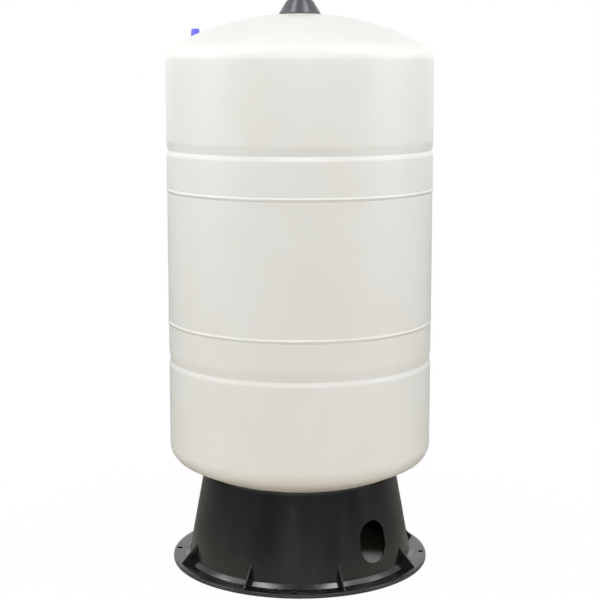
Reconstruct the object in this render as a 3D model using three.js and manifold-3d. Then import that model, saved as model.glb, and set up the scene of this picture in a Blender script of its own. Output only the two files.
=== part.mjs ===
// Diaphragm expansion vessel for well water: a welded three-piece steel tank on a
// moulded stand. Millimetres, +Z up, origin on the floor under the tank's axis.
// The stand's pipe hole and the water connection face -Y.
import * as THREE from 'three';
import { mergeVertices } from 'three/addons/utils/BufferGeometryUtils.js';
import Module from 'manifold-3d';

const wasm = await Module();
wasm.setup();

// ---- driving dimensions -------------------------------------------------------
const SEGMENTS = 36; // round a large lathe
const FINE_SEGMENTS = 24; // round a small one
const CROWN_STEPS = 4; // along a dished head's crown
const KNUCKLE_STEPS = 3; // along its knuckle
const SHELL_T = 2.3; // steel sheet
const GAP = 0.4; // between neighbouring solids

const UPPER_R = 280; // outer radius of the upper head
const CENTRE_R = 279.2; // the centre shell tucks up inside the upper head
const LOWER_R = 278.6; // the lower head tucks up inside the centre shell
const CROWN_R = 560; // dished heads: spherical crown and small knuckle
const KNUCKLE_R = 42;
const UPPER_TANGENT_Z = 1064.4;
const LOWER_TANGENT_Z = 258.7;
const UPPER_GROOVE_Z = 882.3;
const UPPER_SEAM_Z = 799.1;
const LOWER_SEAM_Z = 521.5;
const LOWER_GROOVE_Z = 440.1;
const GROOVE_DEPTH = 2.6;
const GROOVE_ABOVE = 18; // long flank over the groove's bottom
const GROOVE_BELOW = 9; // short flank under it
const LAP = 17; // overlap of one shell inside the next
const EDGE_LIFT = 2.4; // the outer sheet ends this far above the middle of its weld
const WELD_BULGE = 0.9; // the fillet weld stands proud of the outer sheet

const LINER_TOP_Z = 426; // plastic cup that keeps the water off the steel
const LINER_T = 2.2;
const LINER_INSET = SHELL_T + 0.8;
const RIM_INNER_R = 260.5; // clamped rim of the diaphragm
const RIM_LOW_Z = 427.2;
const RIM_HIGH_Z = 433.2;
const DISC_R = 225.6; // stiff crown of the diaphragm
const DISC_Z = 179;
const RUBBER_T = 3;

const STAND_FOOT_R = 241.4; // outer radius of the stand's wall at the floor
const STAND_SLOPE = 0.1811; // the wall leans in by this much per millimetre of height
const STAND_WALL = 4.05;
const FLANGE_R = 274;
const FLANGE_T = 8.5;
const COVE_R = 9.9; // concave fillet between wall and flange
const GUSSETS = 8;
const GUSSET_T = 2.8;
const GUSSET_TOP_Z = 48.3;
const GUSSET_TIP_R = 267.5;
const ANCHORS = 4;
const ANCHOR_CIRCLE_R = 262.5;
const ANCHOR_HOLE_R = 5.8;
const PIPE_HOLE_Z = 82.2;
const PIPE_HOLE_HALF_WIDTH = 35;
const PIPE_HOLE_HALF_HEIGHT = 43.2;
const SHELF_TOP_Z = 186; // inner shelf that the hold-down studs pass through
const SHELF_T = 4;
const SHELF_INNER_R = 179;
const STUDS = 3;
const STUD_CIRCLE_R = 190;
const STUD_R = 4;

const NECK_R = 24.8; // bottom water connection
const NECK_BORE_R = 18.5;
const NECK_FLANGE_R = 36;
const ELBOW_BEND_R = 46;
const ELBOW_BEND_Z = 134; // where the bend starts below the neck
const ELBOW_BORE_R = 18;
const ELBOW_TUBE_R = 24;
const SOCKET_BORE_R = 21;
const SOCKET_R = 29;
const OUTLET_Y = -84;

const VALVE_CIRCLE_R = 224; // air valve on the shoulder
const VALVE_AZIMUTH = -142.4; // degrees from -Y towards +X
const VALVE_SEAT_Z = 1110.8; // flat seat pressed into the head
const VALVE_SEAT_R = 18;
const VALVE_BOSS_R = 12;
const VALVE_FLANGE_R = 17.5;
const VALVE_FLANGE_TOP_Z = 1113.2;
const STEM_R = 3.85; // the stem's upper thread
const STEM_TOP_Z = 1127;
const STEM_BORE_R = 2.0;
const STEM_TAIL_BORE_R = 0.9; // under the shoulder that the spring stands on
const CORE_R = 1.7;
const PIN_R = 0.45;
const PIN_TOP_Z = 1126.2;
const CAP_BASE_R = 9.8;
const CAP_TOP_R = 8.2;
const CAP_TOP_Z = 1133.8;

const CROWN_BOSS_R = 22;
const PLUG_R = 15;
const COVER_BASE_R = 43.5;
const COVER_SHOULDER_R = 28.9;
const COVER_SHOULDER_Z = 1188.6;
const COVER_TOP_Z = 1196;
const COVER_T = 2.2;

// ---- materials ----------------------------------------------------------------
const material = (color, roughness, metalness) =>
  new THREE.MeshStandardMaterial({ color, roughness, metalness });
const paint = material(0xf0eee6, 0.4, 0.0);
const blackPlastic = material(0x1b1b1d, 0.35, 0.0);
const greyPlastic = material(0x5a5a60, 0.45, 0.0);
const bluePlastic = material(0x3b3fd8, 0.4, 0.0);
const steel = material(0x9b9c9c, 0.4, 1.0);
const stainless = material(0xb9bbbd, 0.3, 1.0);
const brass = material(0xb8964a, 0.35, 1.0);
const rubber = material(0x222222, 0.8, 0.0);
const linerPlastic = material(0xdfe6ea, 0.5, 0.0);

// ---- geometry helpers ---------------------------------------------------------
const rad = THREE.MathUtils.degToRad;
const pt = (x, y) => new THREE.Vector2(x, y);

// Place on a circle: azimuth in degrees from -Y towards +X.
const onCircle = (radius, azimuth) =>
  pt(radius * Math.sin(rad(azimuth)), -radius * Math.cos(rad(azimuth)));

// Positions only, shared vertices merged, no zero-area faces, faces pointing out.
function closed(geometry) {
  geometry.deleteAttribute('normal');
  geometry.deleteAttribute('uv');
  const merged = mergeVertices(geometry, 1e-4);
  const at = (i) => new THREE.Vector3().fromBufferAttribute(merged.attributes.position, i);
  const faces = [];
  let volume = 0;
  for (let i = 0; i < merged.index.count; i += 3) {
    const [a, b, c] = [0, 1, 2].map((k) => merged.index.getX(i + k));
    if (a === b || b === c || c === a) continue;
    faces.push([a, b, c]);
    volume += at(a).dot(at(b).cross(at(c)));
  }
  const ordered = volume < 0 ? faces.map(([a, b, c]) => [a, c, b]) : faces;
  merged.setIndex(ordered.flat());
  return merged;
}

// Revolve a profile of (radius, height) points about Z.
function lathe(points, segments = SEGMENTS) {
  return closed(new THREE.LatheGeometry(points, segments).rotateX(Math.PI / 2));
}

// Revolve a loop of (radius, height) points that stays clear of the axis.
const ring = (points, segments) => lathe([...points, points[0]], segments);

// A plain ring of rectangular section.
const washer = (inner, outer, low, high, segments = FINE_SEGMENTS) =>
  ring([pt(inner, low), pt(outer, low), pt(outer, high), pt(inner, high)], segments);

// An upright cylinder, or a hexagon when it has 6 sides.
function drum(radius, low, high, sides = FINE_SEGMENTS) {
  const geometry = new THREE.CylinderGeometry(radius, radius, high - low, sides);
  return closed(geometry.rotateX(Math.PI / 2).translate(0, 0, (high + low) / 2));
}

// A shape in the radius-height plane, made a plate of the given thickness.
function plate(shape, thickness) {
  const geometry = new THREE.ExtrudeGeometry(shape, { depth: thickness, bevelEnabled: false });
  return closed(geometry.translate(0, 0, -thickness / 2).rotateX(Math.PI / 2));
}

// A round bar along a path.
function bar(radius, path, steps, sides) {
  const section = new THREE.Shape();
  section.absarc(0, 0, radius, 0, 2 * Math.PI);
  const options = { steps, curveSegments: sides, bevelEnabled: false, extrudePath: path };
  return closed(new THREE.ExtrudeGeometry(section, options));
}

function toSolid(geometry) {
  return new wasm.Manifold(new wasm.Mesh({
    numProp: 3,
    vertProperties: new Float32Array(geometry.attributes.position.array),
    triVerts: new Uint32Array(geometry.index.array),
  }));
}

function fromSolid(solid) {
  const mesh = solid.getMesh();
  const geometry = new THREE.BufferGeometry();
  geometry.setAttribute('position', new THREE.BufferAttribute(mesh.vertProperties, 3));
  geometry.setIndex(Array.from(mesh.triVerts));
  return geometry;
}

const join = (...parts) => parts.map(toSolid).reduce((sum, part) => sum.add(part));
const cut = (solid, ...parts) => parts.map(toSolid).reduce((rest, part) => rest.subtract(part), solid);

const vessel = new THREE.Group();

function add(name, geometry, look) {
  const mesh = new THREE.Mesh(geometry, look);
  mesh.name = name;
  vessel.add(mesh);
  return mesh;
}

// ---- tank shells --------------------------------------------------------------

// Outline of a dished head from its apex on the axis out to its cylinder; up is 1 for
// the upper head and -1 for the lower one, inset moves the outline into the sheet.
function headCurve(radius, tangentZ, up, inset = 0) {
  const knuckle = KNUCKLE_R - inset;
  const crown = CROWN_R - inset;
  const centreR = radius - KNUCKLE_R;
  const turn = Math.asin(centreR / (CROWN_R - KNUCKLE_R));
  const crownZ = (CROWN_R - KNUCKLE_R) * Math.cos(turn);
  const points = [];
  for (let i = 0; i < CROWN_STEPS; i += 1) {
    const a = (turn * i) / CROWN_STEPS;
    points.push(pt(crown * Math.sin(a), tangentZ + up * (crown * Math.cos(a) - crownZ)));
  }
  for (let i = 0; i <= KNUCKLE_STEPS; i += 1) {
    const a = turn + ((Math.PI / 2 - turn) * i) / KNUCKLE_STEPS;
    points.push(pt(centreR + knuckle * Math.sin(a), tangentZ + up * knuckle * Math.cos(a)));
  }
  return points;
}

const headRise = (radius) => headCurve(radius, 0, 1)[0].y;
const UPPER_APEX_Z = UPPER_TANGENT_Z + headRise(UPPER_R);
const LOWER_APEX_Z = LOWER_TANGENT_Z - headRise(LOWER_R);
const crownSag = (radius) => CROWN_R - Math.sqrt(CROWN_R ** 2 - radius ** 2);

// The rolled groove, from its upper end down.
const groove = (radius, z) => [
  pt(radius, z + GROOVE_ABOVE),
  pt(radius - GROOVE_DEPTH, z),
  pt(radius, z - GROOVE_BELOW),
];

function upperHead() {
  const edgeZ = UPPER_SEAM_Z + EDGE_LIFT;
  const shell = lathe([
    ...headCurve(UPPER_R, UPPER_TANGENT_Z, 1),
    ...groove(UPPER_R, UPPER_GROOVE_Z),
    pt(UPPER_R, edgeZ),
    pt(UPPER_R - SHELL_T, edgeZ),
    ...groove(UPPER_R - SHELL_T, UPPER_GROOVE_Z).reverse(),
    ...headCurve(UPPER_R, UPPER_TANGENT_Z, 1, SHELL_T).reverse(),
  ]);
  const block = toSolid(lathe([
    ...headCurve(UPPER_R, UPPER_TANGENT_Z, 1),
    pt(0, UPPER_TANGENT_Z),
  ]));
  const valve = onCircle(VALVE_CIRCLE_R, VALVE_AZIMUTH);
  const atValve = (radius, low, high) => drum(radius, low, high).translate(valve.x, valve.y, 0);
  const floorZ = VALVE_SEAT_Z - SHELL_T;
  const cup = block.intersect(toSolid(atValve(VALVE_SEAT_R + SHELL_T, floorZ, COVER_TOP_Z)));
  return fromSolid(cut(
    toSolid(shell).add(cup),
    atValve(VALVE_SEAT_R, VALVE_SEAT_Z, COVER_TOP_Z),
    atValve(VALVE_BOSS_R + GAP, floorZ - 10, VALVE_SEAT_Z + 10),
    drum(CROWN_BOSS_R + GAP, UPPER_APEX_Z - 20, COVER_TOP_Z),
  ));
}

// The top edge of a shell is set in by the sheet's thickness, to fit inside the next.
function lapProfile(radius, outerRadius, seamZ, inset) {
  const lapR = outerRadius - SHELL_T - GAP - inset;
  return [pt(lapR, seamZ + LAP), pt(lapR, seamZ + 0.5), pt(radius - inset, seamZ - 4.5)];
}

function centreShell() {
  const edgeZ = LOWER_SEAM_Z + EDGE_LIFT;
  return ring([
    ...lapProfile(CENTRE_R, UPPER_R, UPPER_SEAM_Z, 0),
    pt(CENTRE_R, edgeZ),
    pt(CENTRE_R - SHELL_T, edgeZ),
    ...lapProfile(CENTRE_R, UPPER_R, UPPER_SEAM_Z, SHELL_T).reverse(),
  ]);
}

function lowerHead() {
  const shell = lathe([
    ...headCurve(LOWER_R, LOWER_TANGENT_Z, -1),
    ...groove(LOWER_R, LOWER_GROOVE_Z).reverse(),
    ...lapProfile(LOWER_R, CENTRE_R, LOWER_SEAM_Z, 0).reverse(),
    ...lapProfile(LOWER_R, CENTRE_R, LOWER_SEAM_Z, SHELL_T),
    ...groove(LOWER_R - SHELL_T, LOWER_GROOVE_Z),
    ...headCurve(LOWER_R, LOWER_TANGENT_Z, -1, SHELL_T).reverse(),
  ]);
  return fromSolid(cut(toSolid(shell), drum(NECK_R + GAP, LOWER_APEX_Z - 5, LOWER_APEX_Z + 10)));
}

// Fillet weld in the corner under an outer sheet's edge.
function girthWeld(outerRadius, innerRadius, seamZ) {
  const rootR = outerRadius - SHELL_T + 0.1;
  return ring([
    pt(rootR, seamZ + 2.1),
    pt(outerRadius + 0.1, seamZ + 2.1),
    pt(outerRadius + WELD_BULGE, seamZ + 0.4),
    pt(innerRadius + 0.5, seamZ - 3.4),
    pt(innerRadius + 0.1, seamZ - 3.2),
    pt(rootR, seamZ + 1),
  ]);
}

// ---- water side: liner, diaphragm, clamp ring ---------------------------------
function liner() {
  const side = (inset) => [
    ...headCurve(LOWER_R, LOWER_TANGENT_Z, -1, inset),
    pt(LOWER_R - inset, LINER_TOP_Z),
  ];
  const cup = lathe([...side(LINER_INSET), ...side(LINER_INSET + LINER_T).reverse()]);
  return fromSolid(cut(toSolid(cup), drum(NECK_R + GAP, LOWER_APEX_Z, LOWER_APEX_Z + 12)));
}

// Rolled angle that seats in the lower groove and traps the diaphragm's rim.
function clampRing() {
  const outer = LOWER_R - SHELL_T - GROOVE_DEPTH - GAP;
  const low = RIM_HIGH_Z + GAP;
  return ring([
    pt(outer - 8, low),
    pt(outer, low),
    pt(outer, low + 13),
    pt(outer - 2.5, low + 13),
    pt(outer - 2.5, low + 2.5),
    pt(outer - 8, low + 2.5),
  ]);
}

function diaphragmWall() {
  const outside = [
    pt(RIM_INNER_R - GAP, RIM_HIGH_Z - 1),
    pt(258.5, 300),
    pt(252, 257),
    pt(241, 235),
    pt(DISC_R + 2.5, 224),
  ];
  const inside = outside.map(({ x, y }, i) => pt(x - RUBBER_T + i * 0.5, y + i * 0.8));
  return ring([...outside, ...inside.reverse()]);
}

function diaphragmDisc() {
  const under = [];
  for (let i = 0; i <= 3; i += 1) {
    const radius = (DISC_R * i) / 3;
    under.push(pt(radius, DISC_Z + crownSag(radius)));
  }
  const over = under.map(({ x, y }) => pt(x, y + RUBBER_T)).reverse();
  return lathe([...under, ...over]);
}

// ---- bottom water connection --------------------------------------------------
const NECK_LOW_Z = LOWER_APEX_Z - 22;
const NECK_TOP_Z = DISC_Z - 1.2;
const SEAL_Z = LOWER_APEX_Z + 7.9;

function inletNeck() {
  const flangeZ = LOWER_APEX_Z - GAP;
  return ring([
    pt(NECK_BORE_R, NECK_LOW_Z),
    pt(NECK_R, NECK_LOW_Z),
    pt(NECK_R, flangeZ - 4),
    pt(NECK_FLANGE_R, flangeZ - 4),
    pt(NECK_FLANGE_R, flangeZ),
    pt(NECK_R, flangeZ),
    pt(NECK_R, NECK_TOP_Z),
    pt(NECK_BORE_R, NECK_TOP_Z),
  ], FINE_SEGMENTS);
}

const inletSeal = () => washer(NECK_R + GAP, 33, SEAL_Z, SEAL_Z + 1.4);

function inletNut() {
  const low = SEAL_Z + 1.8;
  return fromSolid(cut(toSolid(drum(37, low, low + 7, 6)), drum(NECK_R + 0.3, low - 1, low + 8)));
}

// Threaded elbow from the neck to an outlet facing -Y.
function waterElbow() {
  const centreZ = ELBOW_BEND_Z - ELBOW_BEND_R;
  const collarTop = LOWER_APEX_Z - GAP - 5.5;
  class Bend extends THREE.Curve {
    getPoint(t, target = new THREE.Vector3()) {
      const a = (t * Math.PI) / 2;
      const y = -ELBOW_BEND_R * (1 - Math.cos(a));
      return target.set(0, y, ELBOW_BEND_Z - ELBOW_BEND_R * Math.sin(a));
    }
  }
  const along = (radius, from, to) =>
    drum(radius, from, to).rotateX(Math.PI / 2).translate(0, 0, centreZ);
  const outside = join(
    bar(ELBOW_TUBE_R, new Bend(), 5, 8),
    drum(31.5, NECK_LOW_Z - 4, collarTop),
    drum(ELBOW_TUBE_R + 1, ELBOW_BEND_Z - 0.5, NECK_LOW_Z - 3.5),
    along(ELBOW_TUBE_R + 1, ELBOW_BEND_R - 0.5, -OUTLET_Y - 18),
    along(SOCKET_R, -OUTLET_Y - 20, -OUTLET_Y),
  );
  return fromSolid(cut(
    outside,
    bar(ELBOW_BORE_R, new Bend(), 5, 8),
    drum(ELBOW_BORE_R, ELBOW_BEND_Z - 0.5, NECK_LOW_Z),
    drum(NECK_R + 0.3, NECK_LOW_Z - 0.5, collarTop + 1),
    along(ELBOW_BORE_R, ELBOW_BEND_R - 0.5, -OUTLET_Y - 20),
    along(SOCKET_BORE_R, -OUTLET_Y - 22, -OUTLET_Y + 1),
  ));
}

// ---- crown connection and its cover -------------------------------------------
const BOSS_TOP_Z = UPPER_APEX_Z + 7;
const PLUG_HEAD_TOP_Z = BOSS_TOP_Z + 9;

const crownBoss = () => washer(PLUG_R + GAP, CROWN_BOSS_R, UPPER_APEX_Z - 12, BOSS_TOP_Z);

const crownPlugSeal = () => washer(PLUG_R + GAP, 19.5, BOSS_TOP_Z + 0.3, BOSS_TOP_Z + 1.8);

function crownPlug() {
  const headZ = BOSS_TOP_Z + 2.1;
  return fromSolid(join(
    drum(PLUG_R, UPPER_APEX_Z - 11, headZ + 1),
    drum(20.5, headZ, headZ + 1.8),
    drum(18.5, headZ + 1, PLUG_HEAD_TOP_Z, 6),
  ));
}

// Moulded cone that pulls off the plug; it has a shallow step under its domed top.
function topCover() {
  const baseZ = UPPER_APEX_Z - crownSag(COVER_BASE_R - COVER_T) + 0.5;
  const outside = [
    pt(COVER_BASE_R, baseZ),
    pt(COVER_BASE_R - 0.3, baseZ + 2.2),
    pt(COVER_SHOULDER_R, COVER_SHOULDER_Z),
    pt(COVER_SHOULDER_R - 1, COVER_SHOULDER_Z + 0.3),
    pt(COVER_SHOULDER_R - 1.4, COVER_SHOULDER_Z + 1.1),
    pt(23.5, COVER_TOP_Z - 3.6),
    pt(14, COVER_TOP_Z - 1),
    pt(0, COVER_TOP_Z),
  ];
  const inside = [
    pt(0, COVER_TOP_Z - COVER_T),
    pt(22, COVER_TOP_Z - COVER_T - 3.8),
    pt(COVER_SHOULDER_R - COVER_T - 1, COVER_SHOULDER_Z - 2),
    pt(COVER_BASE_R - COVER_T - 0.3, baseZ + 2.2),
    pt(COVER_BASE_R - COVER_T, baseZ),
  ];
  return lathe([...inside, ...outside], FINE_SEGMENTS);
}

// ---- air valve ----------------------------------------------------------------
const SEAL_TOP_Z = VALVE_FLANGE_TOP_Z + 1.8;
const STEM_FLANGE_Z = SEAL_TOP_Z + 0.1;
const SPRING_LOW_Z = STEM_TOP_Z - 21;

const valveBoss = () => ring([
  pt(5.4, VALVE_SEAT_Z - 11),
  pt(VALVE_BOSS_R, VALVE_SEAT_Z - 11),
  pt(VALVE_BOSS_R, VALVE_SEAT_Z + 0.3),
  pt(VALVE_FLANGE_R, VALVE_SEAT_Z + 0.3),
  pt(VALVE_FLANGE_R, VALVE_FLANGE_TOP_Z - 0.5),
  pt(VALVE_FLANGE_R - 0.5, VALVE_FLANGE_TOP_Z),
  pt(5.4, VALVE_FLANGE_TOP_Z),
], FINE_SEGMENTS);

const valveStem = () => ring([
  pt(STEM_TAIL_BORE_R, VALVE_SEAT_Z - 9),
  pt(5.1, VALVE_SEAT_Z - 9),
  pt(5.1, STEM_FLANGE_Z),
  pt(6.6, STEM_FLANGE_Z),
  pt(6.6, STEM_FLANGE_Z + 1.8),
  pt(STEM_R, STEM_FLANGE_Z + 2.4),
  pt(STEM_R, STEM_TOP_Z - 0.4),
  pt(STEM_R - 0.4, STEM_TOP_Z),
  pt(STEM_BORE_R, STEM_TOP_Z),
  pt(STEM_BORE_R, SPRING_LOW_Z - 0.3),
  pt(STEM_TAIL_BORE_R, SPRING_LOW_Z - 0.3),
], FINE_SEGMENTS);

const valveStemSeal = () => washer(5.4, 7.2, VALVE_FLANGE_TOP_Z + 0.1, SEAL_TOP_Z, 24);

const valveCoreBody = () => washer(PIN_R + 0.15, CORE_R, STEM_TOP_Z - 11, STEM_TOP_Z - 2.5, 16);

// The pin has a sealing disc under the core body.
function valvePin() {
  const discZ = STEM_TOP_Z - 12.6;
  return lathe([
    pt(0, STEM_TOP_Z - 21.8),
    pt(PIN_R, STEM_TOP_Z - 21.8),
    pt(PIN_R, discZ),
    pt(1.5, discZ),
    pt(1.5, discZ + 1.3),
    pt(PIN_R, discZ + 1.3),
    pt(PIN_R, PIN_TOP_Z),
    pt(0, PIN_TOP_Z),
  ], 16);
}

// Coil spring that pushes the disc up against the core body.
function valveSpring() {
  const turns = 5;
  const highZ = STEM_TOP_Z - 13.1;
  class Coil extends THREE.Curve {
    getPoint(t, target = new THREE.Vector3()) {
      const a = t * turns * 2 * Math.PI;
      return target.set(1.1 * Math.cos(a), 1.1 * Math.sin(a), SPRING_LOW_Z + (highZ - SPRING_LOW_Z) * t);
    }
  }
  return bar(0.2, new Coil(), turns * 8, 2);
}

// Tapered cap: a skirt round the stem's flange and a threaded tube on the stem.
function valveCap() {
  const low = VALVE_FLANGE_TOP_Z + 0.4;
  return lathe([
    pt(0, CAP_TOP_Z),
    pt(CAP_TOP_R - 1.6, CAP_TOP_Z),
    pt(CAP_TOP_R, CAP_TOP_Z - 1.2),
    pt(CAP_BASE_R, low),
    pt(CAP_BASE_R - 1.4, low),
    pt(CAP_TOP_R - 1.4, CAP_TOP_Z - 4),
    pt(STEM_R + 1.9, CAP_TOP_Z - 4),
    pt(STEM_R + 1.9, STEM_FLANGE_Z + 3.4),
    pt(STEM_R + 0.15, STEM_FLANGE_Z + 3.4),
    pt(STEM_R + 0.15, CAP_TOP_Z - 3.4),
    pt(0, CAP_TOP_Z - 3.4),
  ], FINE_SEGMENTS);
}

const valveCapSeal = () => washer(1.2, STEM_R - 0.2, STEM_TOP_Z + 0.2, CAP_TOP_Z - 3.6, 24);

// ---- stand --------------------------------------------------------------------
const wallRadius = (z) => STAND_FOOT_R - STAND_SLOPE * z;
const underTank = (radius) => LOWER_APEX_Z + crownSag(radius) - GAP;

// Outer radius at which the stand's wall meets the underside of the tank.
function standTopRadius() {
  let radius = wallRadius(200);
  for (let i = 0; i < 20; i += 1) radius = wallRadius(underTank(radius));
  return radius;
}

function standBody() {
  const topR = standTopRadius();
  const innerTopR = topR - 3.9;
  const inner = (z) => wallRadius(z) - STAND_WALL;
  const shelfLow = SHELF_TOP_Z - SHELF_T;
  const cove = [];
  for (let i = 0; i <= 3; i += 1) {
    const a = (i * Math.PI) / 6;
    cove.push(pt(
      wallRadius(FLANGE_T + COVE_R) + COVE_R * (1 - Math.sin(a)),
      FLANGE_T + COVE_R * (1 - Math.cos(a)),
    ));
  }
  return ring([
    pt(inner(0), 0),
    pt(FLANGE_R, 0),
    pt(FLANGE_R, FLANGE_T - 1.2),
    pt(FLANGE_R - 1.2, FLANGE_T),
    ...cove,
    pt(topR, underTank(topR)),
    pt(innerTopR, underTank(innerTopR)),
    pt(inner(SHELF_TOP_Z), SHELF_TOP_Z),
    pt(SHELF_INNER_R, SHELF_TOP_Z),
    pt(SHELF_INNER_R, shelfLow),
    pt(inner(shelfLow), shelfLow),
  ]);
}

// Triangular fin from the wall down to the flange, in the plane of one azimuth.
function gusset(azimuth) {
  const fall = (GUSSET_TOP_Z - FLANGE_T) / (GUSSET_TIP_R - wallRadius(GUSSET_TOP_Z));
  const sunk = 2;
  const shape = new THREE.Shape([
    pt(wallRadius(0) - sunk, FLANGE_T - sunk),
    pt(GUSSET_TIP_R + sunk / fall, FLANGE_T - sunk),
    pt(wallRadius(GUSSET_TOP_Z) - sunk, GUSSET_TOP_Z + sunk * fall),
  ]);
  return plate(shape, GUSSET_T).rotateZ(rad(azimuth - 90));
}

function pipeHole() {
  const straight = PIPE_HOLE_HALF_HEIGHT - PIPE_HOLE_HALF_WIDTH;
  const shape = new THREE.Shape();
  shape.absarc(0, straight, PIPE_HOLE_HALF_WIDTH, 0, Math.PI);
  shape.absarc(0, -straight, PIPE_HOLE_HALF_WIDTH, Math.PI, 2 * Math.PI);
  const options = { depth: 60, curveSegments: 14, bevelEnabled: false };
  const geometry = new THREE.ExtrudeGeometry(shape, options).rotateX(Math.PI / 2);
  return closed(geometry.translate(0, -190, PIPE_HOLE_Z));
}

function baseStand() {
  const fins = [];
  const holes = [];
  for (let i = 0; i < GUSSETS; i += 1) fins.push(gusset(((i + 0.5) * 360) / GUSSETS));
  for (let i = 0; i < ANCHORS; i += 1) {
    const at = onCircle(ANCHOR_CIRCLE_R, ((i + 0.5) * 360) / ANCHORS);
    holes.push(drum(ANCHOR_HOLE_R, -5, FLANGE_T + 5, 16).translate(at.x, at.y, 0));
  }
  for (let i = 0; i < STUDS; i += 1) {
    const at = onCircle(STUD_CIRCLE_R, studAzimuth(i));
    holes.push(drum(STUD_R + 0.7, 170, SHELF_TOP_Z + 2, 16).translate(at.x, at.y, 0));
  }
  return fromSolid(cut(join(standBody(), ...fins), ...holes, pipeHole()));
}

const studAzimuth = (i) => 60 + (i * 360) / STUDS;

// A stud welded under the tank; its top follows the dish no closer than the gap.
const studTopZ = underTank(STUD_CIRCLE_R - STUD_R) - 0.1;
const baseStud = () => drum(STUD_R, SHELF_TOP_Z - 20, studTopZ, 16);

function baseNut() {
  const top = SHELF_TOP_Z - SHELF_T - GAP;
  return fromSolid(cut(
    join(drum(9, top - 2, top), drum(7.5, top - 8.5, top - 1, 6)),
    drum(STUD_R + 0.25, top - 10, top + 1, 16),
  ));
}

// ---- assembly -----------------------------------------------------------------
add('base_stand', baseStand(), blackPlastic);
add('lower_head', lowerHead(), paint);
add('centre_shell', centreShell(), paint);
add('upper_head', upperHead(), paint);
add('upper_girth_weld', girthWeld(UPPER_R, CENTRE_R, UPPER_SEAM_Z), paint);
add('lower_girth_weld', girthWeld(CENTRE_R, LOWER_R, LOWER_SEAM_Z), paint);

add('liner', liner(), linerPlastic);
add('clamp_ring', clampRing(), steel);
add('diaphragm_rim', washer(
  RIM_INNER_R, LOWER_R - LINER_INSET - 0.6, RIM_LOW_Z, RIM_HIGH_Z, SEGMENTS), rubber);
add('diaphragm_wall', diaphragmWall(), rubber);
add('diaphragm_disc', diaphragmDisc(), rubber);

add('inlet_neck', inletNeck(), stainless);
add('inlet_seal', inletSeal(), rubber);
add('inlet_nut', inletNut(), stainless);
add('water_elbow', waterElbow(), stainless);

add('crown_boss', crownBoss(), steel);
add('crown_plug_seal', crownPlugSeal(), rubber);
add('crown_plug', crownPlug(), brass);
add('top_cover', topCover(), greyPlastic);

const valvePlace = onCircle(VALVE_CIRCLE_R, VALVE_AZIMUTH);
const valveParts = [
  ['valve_boss', valveBoss(), steel],
  ['valve_stem_seal', valveStemSeal(), rubber],
  ['valve_stem', valveStem(), brass],
  ['valve_core_body', valveCoreBody(), brass],
  ['valve_spring', valveSpring(), steel],
  ['valve_pin', valvePin(), brass],
  ['valve_cap_seal', valveCapSeal(), rubber],
  ['valve_cap', valveCap(), bluePlastic],
];
for (const [name, geometry, look] of valveParts) {
  add(name, geometry, look).position.set(valvePlace.x, valvePlace.y, 0);
}

for (let i = 0; i < STUDS; i += 1) {
  const at = onCircle(STUD_CIRCLE_R, studAzimuth(i));
  add(`base_stud_${i + 1}`, baseStud(), steel).position.set(at.x, at.y, 0);
  add(`base_nut_${i + 1}`, baseNut(), steel).position.set(at.x, at.y, 0);
}

export default vessel;
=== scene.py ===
import math

import bmesh
import bpy
from mathutils import Matrix, Vector


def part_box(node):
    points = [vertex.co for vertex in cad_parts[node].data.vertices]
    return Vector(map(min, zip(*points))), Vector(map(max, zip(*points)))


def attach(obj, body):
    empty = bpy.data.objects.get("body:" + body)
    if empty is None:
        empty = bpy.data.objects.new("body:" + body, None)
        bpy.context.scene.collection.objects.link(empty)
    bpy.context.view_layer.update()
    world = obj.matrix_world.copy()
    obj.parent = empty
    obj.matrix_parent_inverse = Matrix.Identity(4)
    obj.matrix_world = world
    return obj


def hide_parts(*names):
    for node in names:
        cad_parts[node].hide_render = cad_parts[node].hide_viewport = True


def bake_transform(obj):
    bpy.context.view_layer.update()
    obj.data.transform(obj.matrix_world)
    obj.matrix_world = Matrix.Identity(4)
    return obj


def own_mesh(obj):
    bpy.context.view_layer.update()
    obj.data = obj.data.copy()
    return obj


# Looks of a well-water expansion vessel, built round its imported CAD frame: a cream
# powder-coated steel tank on a black moulded stand, a grey cover on its crown and a
# blue cap on its air valve. Sizes are millimetres and become metres where a mesh is
# made. +Z is up, the pipe hole faces -Y, and an azimuth runs from -Y towards +X.
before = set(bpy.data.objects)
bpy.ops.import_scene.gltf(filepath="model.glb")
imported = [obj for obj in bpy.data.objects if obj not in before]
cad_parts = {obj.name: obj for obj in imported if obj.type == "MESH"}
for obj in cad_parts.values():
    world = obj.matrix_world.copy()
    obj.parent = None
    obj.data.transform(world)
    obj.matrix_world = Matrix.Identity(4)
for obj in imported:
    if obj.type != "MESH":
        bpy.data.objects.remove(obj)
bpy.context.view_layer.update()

MM = 0.001

# ---- camera ----
CAMERA_AZIMUTH = -42.4
CAMERA_DISTANCE = 3.0272  # metres from the tank's axis
CAMERA_HEIGHT = 1.0534
CAMERA_TILT = 7.46  # degrees below level
LENS = 86.13
SENSOR = 36.0
CAMERA_SHIFT = (0.0003, -0.075)


def on_circle(radius, azimuth, height=0.0):
    """The point at that radius, azimuth in degrees and height."""
    a = math.radians(azimuth)
    return Vector((radius * math.sin(a), -radius * math.cos(a), height))


def make_camera():
    data = bpy.data.cameras.new("camera")
    data.lens = LENS
    data.sensor_width = SENSOR
    data.shift_x, data.shift_y = CAMERA_SHIFT
    data.clip_end = 100.0
    camera = bpy.data.objects.new("camera", data)
    bpy.context.scene.collection.objects.link(camera)
    camera.location = on_circle(CAMERA_DISTANCE, CAMERA_AZIMUTH, CAMERA_HEIGHT)
    camera.rotation_euler = (math.radians(90 - CAMERA_TILT), 0.0, math.radians(CAMERA_AZIMUTH))
    bpy.context.scene.camera = camera


make_camera()


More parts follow.
